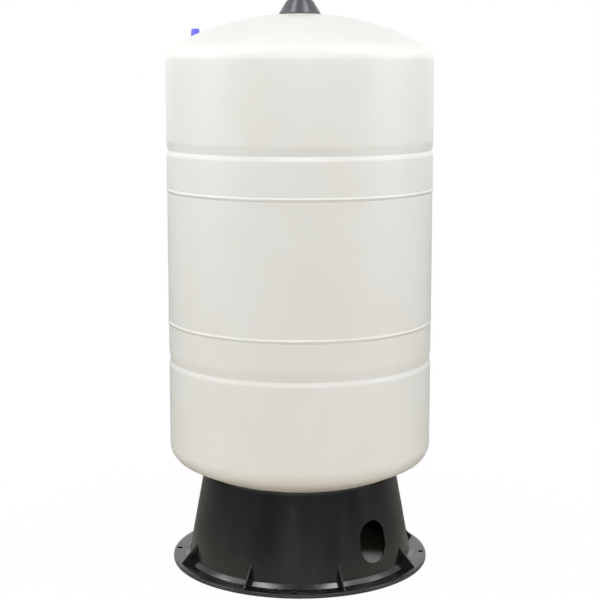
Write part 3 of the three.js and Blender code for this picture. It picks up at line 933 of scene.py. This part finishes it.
# ---- gaskets ----
def gasket(name, node, bore, fillets, segments=96, place=(0.0, 0.0), body="tank"):
    """A flat rubber ring, with a fillet at its bore and one at its rim."""
    low, high = heights(node)
    rim = radius_of(node)
    outline = rounded_loop([
        (bore, low, fillets[0]),
        (rim, low, fillets[1]),
        (rim, high, fillets[1]),
        (bore, high, fillets[0]),
    ])
    finished(turned(name, outline, segments, place), "black_rubber", node, body=body)


# ---- crown ----
CROWN_BORE_R = 15.4
CROWN_PITCH = 1.81


def crown_cover():
    """The moulded cone: a thin foot, a straight side, a small step and a domed top."""
    low, high = heights("top_cover")
    base_r = radius_of("top_cover")
    wall = 2.2
    shoulder_r = 28.9
    shoulder_z = 1188.6
    outline = rounded([
        (0.0, high - wall, 0),
        (21.0, high - wall - 3.6, 4.0),
        (shoulder_r - wall - 1, shoulder_z - 2, 2.0),
        (base_r - wall - 0.3, low + 2.2, 0.5),
        (base_r - wall, low, 0.3),
        (base_r, low, 0.5),
        (base_r, low + 1.5, 0.5),
        (base_r - 0.9, low + 2.3, 0.6),
        (shoulder_r, shoulder_z, 1.1),
        (shoulder_r - 1.0, shoulder_z + 0.3, 0.3),
        (shoulder_r - 1.5, shoulder_z + 1.3, 0.5),
        (24.6, high - 3.4, 5.0),
        (12.0, high - 0.35, 20.0),
        (0.0, high, 0),
    ], 7)
    cover = turned("crown_cover", outline, 160)
    finished(cover, "grey_plastic", "top_cover", body="top_cover")


def crown_socket():
    low, high = heights("crown_boss")
    rim = radius_of("crown_boss")
    outline = rounded_loop([
        (CROWN_BORE_R, low, 0.4),
        (rim, low, 0.8),
        (rim, high, 1.2),
        (CROWN_BORE_R, high, 0.8),
    ])
    finished(turned("crown_socket", outline), "bare_steel", "crown_boss")


def crown_hex_plug():
    low, high = heights("crown_plug")
    collar_z = heights("crown_plug_seal")[1] + 0.3
    shank_r = 15.0
    plug = hexagon("crown_hex_plug", 18.5, collar_z + 1.0, high, chamfer=1.6)
    collar = turned("collar", bar(20.5, collar_z, collar_z + 1.8, 0.5, 0.7))
    shank_outline = refined(bar(shank_r, low, collar_z + 0.6, 1.2), 0.35)
    shape = threaded(shank_r, low + 1, collar_z - 2, 0.7, CROWN_PITCH)
    shank = turned("shank", shank_outline, shape=shape, sharp=THREAD_SOFT)
    combine(plug, collar, "UNION", CRISP)
    combine(plug, shank, "UNION", CRISP)
    finished(plug, "brass", "crown_plug")


# ---- air valve ----
def valve_bushing():
    """The boss that the stem screws into, standing on the pressed seat."""
    low, high = heights("valve_boss")
    flange_r = radius_of("valve_boss")
    flange_z = VALVE_SEAT_Z + 0.3
    body_r = VALVE_BOSS_R - SHEET_GAP
    outline = rounded_loop([
        (VALVE_BORE_R, low, 0.3),
        (body_r, low, 0.6),
        (body_r, flange_z, 0.2),
        (flange_r, flange_z, 0.3),
        (flange_r, high, 0.7),
        (VALVE_BORE_R, high, 0.5),
    ])
    finished(turned("valve_bushing", outline, 80, VALVE), "bare_steel", "valve_boss")


def valve_tube():
    """The brass stem, with the thread that its cap runs on."""
    low, high = heights("valve_stem")
    flange_z = heights("valve_stem_seal")[1] + 0.1
    flange_r = 6.6
    tail_r = 5.1
    bore = 2.0
    tail_bore = 0.9
    shoulder_z = heights("valve_spring")[0] - 0.15
    outline = refined(rounded_loop([
        (tail_bore, low, 0.2),
        (tail_r, low, 0.6),
        (tail_r, flange_z, 0.1),
        (flange_r, flange_z, 0.3),
        (flange_r, flange_z + 1.8, 0.5),
        (STEM_R, flange_z + 2.4, 0.3),
        (STEM_R, high, 0.45),
        (bore, high, 0.3),
        (bore, shoulder_z, 0.1),
        (tail_bore, shoulder_z, 0.1),
    ], 3), 0.1)
    shape = threaded(STEM_R, flange_z + 3.2, high - 0.4, 0.36, THREAD_PITCH, 0.8, 0.15)
    finished(turned("valve_tube", outline, 56, VALVE, shape, THREAD_SOFT), "brass", "valve_stem")


def valve_core():
    """The core's barrel, with a waist between its two bands."""
    low, high = heights("valve_core_body")
    outer = radius_of("valve_core_body")
    waist = outer - 0.35
    bore = 0.6
    outline = rounded_loop([
        (bore, low, 0.1),
        (outer - 0.3, low, 0.15),
        (outer, low + 1.2, 0.1),
        (outer, low + 2.4, 0.1),
        (waist, low + 2.8, 0.1),
        (waist, high - 3.0, 0.1),
        (outer, high - 2.6, 0.1),
        (outer, high, 0.15),
        (bore, high, 0.1),
    ], 3)
    finished(turned("valve_core", outline, 40, VALVE), "brass", "valve_core_body")


def valve_needle():
    """The pin that opens the valve, with the disc that its spring pushes on."""
    low, high = heights("valve_pin")
    disc_r = radius_of("valve_pin")
    pin_r = 0.45
    disc_z = 1114.4
    disc_top_z = disc_z + 1.3
    outline = rounded([
        (0.0, low, 0),
        (pin_r, low, 0.2),
        (pin_r, disc_z, 0.05),
        (disc_r, disc_z, 0.15),
        (disc_r, disc_top_z, 0.3),
        (pin_r, disc_top_z, 0.05),
        (pin_r, high, 0.3),
        (0.0, high, 0),
    ], 4)
    needle = turned("valve_needle", outline, 32, VALVE)
    finished(needle, "brass", "valve_pin", body="valve_pin")


def valve_coil():
    """The core's spring: a round wire whose end turns lie flat."""
    low, high = heights("valve_spring")
    length = high - low
    wire = 0.2
    coil_r = radius_of("valve_spring") - wire
    coils = 5
    steps = 40 * coils
    axis = VALVE.xy.to_3d()
    bm = bmesh.new()
    rings = []
    for i in range(steps + 1):
        t = i / steps
        azimuth = 360.0 * coils * t
        lift = (length - 2 * wire) * smooth_step(1.3 * t - 0.15)
        centre = axis + on_circle(coil_r, azimuth, low + wire + lift)
        ring = []
        for turn in turns(10):
            a = math.radians(turn)
            point = centre + on_circle(wire * math.cos(a), azimuth, wire * math.sin(a))
            ring.append(bm.verts.new(point))
        rings.append(ring)
    capped_tube(bm, rings)
    spring = finished(new_piece("valve_coil", bm), "bare_steel", "valve_spring")
    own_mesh(spring)


def dust_cap():
    """The blue cap: a ribbed tapered skirt, and a tube inside it that runs on the stem."""
    low, high = heights("valve_cap")
    base_r = radius_of("valve_cap")
    top_r = 8.2
    wall = 1.4
    tube_inner_r = STEM_R + 0.15
    tube_outer_r = STEM_R + 1.9
    tube_z = 1118.8
    outline = rounded([
        (0.0, high - 3.4, 0),
        (tube_inner_r, high - 3.4, 0.2),
        (tube_inner_r, tube_z, 0.2),
        (tube_outer_r, tube_z, 0.4),
        (tube_outer_r, high - 4, 0.6),
        (top_r - wall, high - 4, 0.6),
        (base_r - wall, low, 0.3),
        (base_r, low, 0.4),
        (base_r - 0.1, low + 1.4, 0.5),
        (top_r, high - 0.9, 1.3),
        (top_r - 2.2, high, 2.5),
        (0.0, high, 0),
    ], 6)
    ribs = 24
    foot = low + 2.0
    rib_top = high - 3.0

    def shape(radius, height, azimuth):
        """Fine grip ribs up the skirt."""
        skirt = base_r + (top_r - base_r) * (height - low) / (high - low)
        if radius < skirt - 0.5 or not foot < height < rib_top:
            return radius, height
        ends = smooth_step((height - foot) / 2) * smooth_step((rib_top - height) / 2)
        rib = 0.5 + 0.5 * math.cos(math.radians(ribs * azimuth))
        return radius - 0.16 * ends * rib, height

    cap = turned("dust_cap", refined(outline, 1.2), ribs * 8, VALVE, shape)
    finished(cap, "blue_plastic", "valve_cap", body="valve_cap")


# ---- water connection ----
def neck_spigot():
    """The neck that joins tank and elbow, with its flange under the head."""
    low, high = heights("inlet_neck")
    flange_r = radius_of("inlet_neck")
    flange_z = 159.1
    flange_low_z = flange_z - 4
    outline = refined(rounded_loop([
        (NECK_BORE_R, low, 0.8),
        (NECK_R, low, 1.0),
        (NECK_R, flange_low_z, 0.5),
        (flange_r, flange_low_z, 0.8),
        (flange_r, flange_z, 0.8),
        (NECK_R, flange_z, 0.3),
        (NECK_R, high, 0.8),
        (NECK_BORE_R, high, 0.8),
    ], 4), 0.6)
    finished(turned("neck_spigot", outline), "stainless", "inlet_neck")


def neck_nut():
    low, high = heights("inlet_nut")
    bore_r = NECK_R + 0.3
    mouth_r = bore_r + 1.1
    nut = hexagon("neck_nut", 37.0, low, high, chamfer=1.5)
    bore = turned("bore", [
        (0.0, low - 2),
        (mouth_r, low - 2),
        (mouth_r, low),
        (bore_r, low + 1),
        (bore_r, high - 1),
        (mouth_r, high),
        (mouth_r, high + 2),
        (0.0, high + 2),
    ])
    combine(nut, bore, "DIFFERENCE", CRISP)
    finished(nut, "stainless", "inlet_nut")


def outlet_elbow():
    """The cast elbow, from its collar on the neck round to its socket."""
    high = heights("water_elbow")[1]
    bend_r = 46.0
    bend_z = 134.0
    down = high - bend_z
    round_bend = bend_r * math.pi / 2
    end = down + round_bend + (-box("water_elbow")[0].y - bend_r)
    across = Vector((1, 0, 0))

    def centreline(distance):
        if distance <= down:
            return Vector((0, 0, high - distance)), Vector((0, 1, 0)), across
        if distance <= down + round_bend:
            a = (distance - down) / bend_r
            point = Vector((0, -bend_r * (1 - math.cos(a)), bend_z - bend_r * math.sin(a)))
            return point, Vector((0, math.cos(a), -math.sin(a))), across
        past = distance - down - round_bend
        return Vector((0, -bend_r - past, bend_z - bend_r)), Vector((0, 0, -1)), across

    collar = 20.0
    collar_r = 31.5
    collar_bore_r = NECK_R + 0.3
    tube_r = 24.6
    bore_r = 18.0
    socket_r = 29.0
    socket_bore_r = 21.0
    outline = refined(rounded_loop([
        (0.0, collar_bore_r, 1.0),
        (0.0, collar_r, 1.6),
        (collar, collar_r, 2.0),
        (collar + 3.5, tube_r, 3.0),
        (end - 24, tube_r, 3.0),
        (end - 20, socket_r, 1.6),
        (end, socket_r, 1.6),
        (end, socket_bore_r, 1.0),
        (end - 21, socket_bore_r, 0.6),
        (end - 22, bore_r, 0.8),
        (17.5, bore_r, 0.8),
        (16.5, collar_bore_r, 0.6),
    ]), 4.0)
    elbow = swept("outlet_elbow", outline, centreline, 72)
    finished(elbow, "stainless", "water_elbow")


# ---- inside the tank ----
def water_liner():
    """The plastic liner of the water side, inside the lower head."""
    high = heights("liner")[1]
    inset = SHEET_T + 0.8
    thick = 2.2
    hole = 25.2
    outer_r = LOWER_R - inset
    inner_r = outer_r - thick
    outside = head_curve(LOWER_R, LOWER_TANGENT_Z, -1, hole, inset)
    inside = head_curve(LOWER_R, LOWER_TANGENT_Z, -1, hole, inset + thick)
    outline = [
        *outside,
        (outer_r, high - 0.8),
        (outer_r - 0.8, high),
        (inner_r + 0.4, high),
        (inner_r, high - 0.4),
        *inside[::-1],
    ]
    liner = turned("water_liner", refined(outline, COARSE), INNER_TURNS)
    finished(liner, "liner_plastic", "liner")


def diaphragm_ring():
    """The rolled angle that traps the diaphragm's rim."""
    low, high = heights("clamp_ring")
    outer = radius_of("clamp_ring")
    leg = 8
    thick = 2.5
    outline = rounded_loop([
        (outer - leg, low, 0.8),
        (outer, low, 2.2),
        (outer, high, 0.6),
        (outer - thick, high, 0.6),
        (outer - thick, low + thick, 1.2),
        (outer - leg, low + thick, 0.8),
    ])
    finished(turned("diaphragm_ring", outline, INNER_TURNS), "bare_steel", "clamp_ring")


def diaphragm_cup():
    """One moulded rubber cup: its beaded rim stays in the clamp and its crown travels."""
    rim_low, rim_high = heights("diaphragm_rim")
    rim_outer_r = radius_of("diaphragm_rim")
    rubber = 3.0
    spread = math.degrees(math.asin(radius_of("diaphragm_disc") / CROWN_R))
    bottom = heights("diaphragm_disc")[0]
    under = arc((0.0, bottom + CROWN_R), CROWN_R, 0, spread, 14, -1)
    disc_edge = under[-1][1]
    rim_r = 260.5
    outline = rounded([
        *[(r, z, 0) for r, z in under],
        (240.0, disc_edge + 14, 22),
        (252.0, 257.0, 30),
        (257.5, 320.0, 60),
        (rim_r - 0.4, rim_low, 1.5),
        (rim_outer_r, rim_low, 1.4),
        (rim_outer_r, rim_high, 1.4),
        (rim_r - 3.2, rim_high, 2.0),
        (254.5, 320.0, 60),
        (248.8, 258.5, 30),
        (237.4, disc_edge + 16.6, 22),
        *[(r, z + rubber, 0) for r, z in under[::-1]],
    ], 6)
    cup = turned("diaphragm_cup", refined(outline, 8.0), 160)
    stands_for = ("diaphragm_rim", "diaphragm_wall", "diaphragm_disc")
    finished(cup, "black_rubber", *stands_for, body=None)
    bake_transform(cup)


# ---- stage and light ----
ROOM_LIGHT = 1.15  # radiance of the white room low down
ZENITH_LIGHT = 0.08
DARK_LIGHT = 0.1  # low down behind the camera
BANK_LIGHT = 8.0
LEFT_LIGHT = 5.0
RIGHT_LIGHT = 3.4
WING_LIGHT = 2.7
KEY_LIGHT = 5.0
WHITE = (1.0, 1.0, 1.0)
COOL = (0.95, 0.98, 1.0)
ROOM_COLOUR = (0.985, 0.99, 1.0)
ZENITH_COLOUR = (0.95, 0.985, 1.03)
BANK_SIZE = (1.1, 1.1)
SIDE_SIZE = (0.8, 0.8)
WING_SIZE = (0.8, 1.6)
KEY_SIZE = (1.6, 0.6)
SEEN_FLOOR_FROM = (0.245, 0.26)  # radii under the flange between which white starts
NEAR_WHITE = 0.99  # share of white next to the object
PAINTED_SPILL_PLACE = (0.078, -0.136, 0.0)  # centre of a painted pool of light on the floor inside the stand, by the pipe hole
PAINTED_SPILL_REACH = (0.015, 0.08)
PAINTED_SPILL_WHITE = 0.1
PAINTED_POOL_AT = 0.65  # metres before the object, towards the camera, where a pool of light is painted on the floor
PAINTED_POOL_REACH = (0.45, 1.1)
FLOOR_AND_PAINTED_POOL_COLOURS = (0.3, 0.285, 0.255), (0.76, 0.7, 0.59)  # darker all round, and a painted pool of light before the camera
FLOOR_R = 12000.0
FLOOR_DROP = 0.3


def whiten_seen_floor(look):
    """Over-exposes the floor in the picture, all but what is seen of it inside the stand, where
    only a faint painted pool of light glows by the pipe hole.
    """
    reach = look.against("DISTANCE", look.place, (0.0, 0.0, 0.0))
    outside = look.ranged(reach, *SEEN_FLOOR_FROM)
    distant = look.ranged(reach, 0.3, 1.0, NEAR_WHITE, 1.0)
    # a faint painted pool of light on the floor inside the stand, where light would come in
    # through the pipe hole
    from_painted_spill = look.against("DISTANCE", look.place, PAINTED_SPILL_PLACE)
    painted_spill = look.ranged(from_painted_spill, *PAINTED_SPILL_REACH, PAINTED_SPILL_WHITE, 0.0)
    white = look.paired("MAXIMUM", look.paired("MULTIPLY", outside, distant), painted_spill)
    seen = look.node("ShaderNodeLightPath").outputs["Is Camera Ray"]
    share = look.paired("MULTIPLY", white, seen)
    glow = look.node("ShaderNodeEmission").outputs["Emission"]
    look.shaders_mixed(share, look.shader.outputs["BSDF"], glow, "Material Output")


def make_floor():
    """A pale floor, one large disc just under the object. Out of the camera's sight it is darker
    all round, with a painted pool of light before the camera.
    """
    outline = [(radius, -FLOOR_DROP) for radius in (0.0, 400.0, 1500.0, FLOOR_R)]
    floor = turned("floor", outline)
    look = Look("floor", Roughness=0.9, Specular_IOR_Level=0.1)
    # the painted pool of light before the camera, which lights the tank's underside and front from
    # the floor
    front = on_circle(PAINTED_POOL_AT, CAMERA_AZIMUTH)
    from_front = look.against("DISTANCE", look.place, front)
    painted_pool = look.ranged(from_front, *PAINTED_POOL_REACH, 1.0, 0.0)
    look.colour(look.mixed(painted_pool, *FLOOR_AND_PAINTED_POOL_COLOURS))
    whiten_seen_floor(look)
    floor.data.materials.append(look.material)


def softbox(name, place, target, size, radiance, colour=WHITE):
    """A rectangular light; place and target are metres, seen from the camera's azimuth."""
    data = bpy.data.lights.new(name, "AREA")
    data.shape = "RECTANGLE"
    data.size, data.size_y = size
    data.energy = radiance * math.pi * data.size * data.size_y
    data.color = colour
    light = bpy.data.objects.new(name, data)
    bpy.context.scene.collection.objects.link(light)
    light.visible_camera = False
    turn = Matrix.Rotation(math.radians(CAMERA_AZIMUTH), 3, "Z")
    light.location = turn @ Vector(place)
    aim = turn @ Vector(target) - light.location
    light.rotation_euler = aim.to_track_quat("-Z", "Y").to_euler()


def make_world():
    """A white studio: bright all round but for the dark room low down behind the camera."""
    world = bpy.data.worlds.new("studio")
    bpy.context.scene.world = world
    world.use_nodes = True
    sky = Nodes(world.node_tree)
    direction = sky.node("ShaderNodeTexCoord").outputs["Generated"]
    split = sky.node("ShaderNodeSeparateXYZ")
    sky.link(direction, split.inputs["Vector"])
    up = split.outputs["Z"]
    front = sky.against("DOT_PRODUCT", direction, on_circle(1.0, CAMERA_AZIMUTH))
    before = sky.ranged(front, -0.95, -0.35)  # all but what is behind the object
    low = sky.ranged(up, 0.1, 0.3, 1.0, 0.0)
    dark = sky.paired("MULTIPLY", before, low)
    kept = sky.ranged(dark, 0.0, 1.0, 1.0, DARK_LIGHT / ROOM_LIGHT)
    room = sky.ranged(up, 0.2, 0.75, ROOM_LIGHT, ZENITH_LIGHT)
    colour = sky.mixed(sky.ranged(up, 0.0, 0.8), ROOM_COLOUR, ZENITH_COLOUR)
    lit = world.node_tree.nodes["Background"]
    sky.link(colour, lit.inputs["Color"])
    sky.link(sky.paired("MULTIPLY", room, kept), lit.inputs["Strength"])
    white = sky.node("ShaderNodeBackground")
    white.inputs["Color"].default_value = (*WHITE, 1.0)
    seen = sky.node("ShaderNodeLightPath").outputs["Is Camera Ray"]
    shaders = (lit.outputs["Background"], white.outputs["Background"])
    sky.shaders_mixed(seen, *shaders, "World Output")


# ---- assembly ----
upper_dome()
middle_barrel()
lower_dome()
weld_bead("upper_weld_bead", "upper_girth_weld", UPPER_R, CENTRE_R, UPPER_EDGE_Z)
weld_bead("lower_weld_bead", "lower_girth_weld", CENTRE_R, LOWER_R, CENTRE_EDGE_Z)

stand_moulding()
for number in STUDS:
    hold_down_stud(f"hold_down_stud_{number}", f"base_stud_{number}")
    hold_down_nut(f"hold_down_nut_{number}", f"base_nut_{number}")

crown_cover()
crown_socket()
gasket("crown_gasket", "crown_plug_seal", CROWN_BORE_R, (0.4, 0.6))
crown_hex_plug()

valve_bushing()
gasket("valve_gasket", "valve_stem_seal", VALVE_BORE_R, (0.4, 0.8), 64, VALVE)
valve_tube()
valve_core()
valve_needle()
valve_coil()
dust_cap()
gasket("cap_washer", "valve_cap_seal", 1.2, (0.2, 0.3), 48, VALVE, "valve_cap_lift")

neck_spigot()
neck_nut()
gasket("neck_gasket", "inlet_seal", NECK_R + SHEET_GAP, (0.3, 0.5))
outlet_elbow()

water_liner()
diaphragm_ring()
diaphragm_cup()

make_world()
make_floor()
for side, x, side_light in (("left", -1, LEFT_LIGHT), ("right", 1, RIGHT_LIGHT)):
    softbox(f"{side}_bank", (1.75 * x, -1.2, 4.0), (0.0, -0.2, 0.0), BANK_SIZE, BANK_LIGHT)
    softbox(f"{side}_side", (1.8 * x, 0.4, 2.0), (0.0, 0.0, 1.1), SIDE_SIZE, side_light, COOL)
    softbox(f"{side}_wing", (2.0 * x, -0.6, 1.5), (0.0, 0.0, 0.8), WING_SIZE, WING_LIGHT, COOL)
softbox("key", (0.0, -2.0, 1.8), (0.0, 0.0, 1.2), KEY_SIZE, KEY_LIGHT, COOL)
bpy.context.scene.view_settings.view_transform = "Standard"
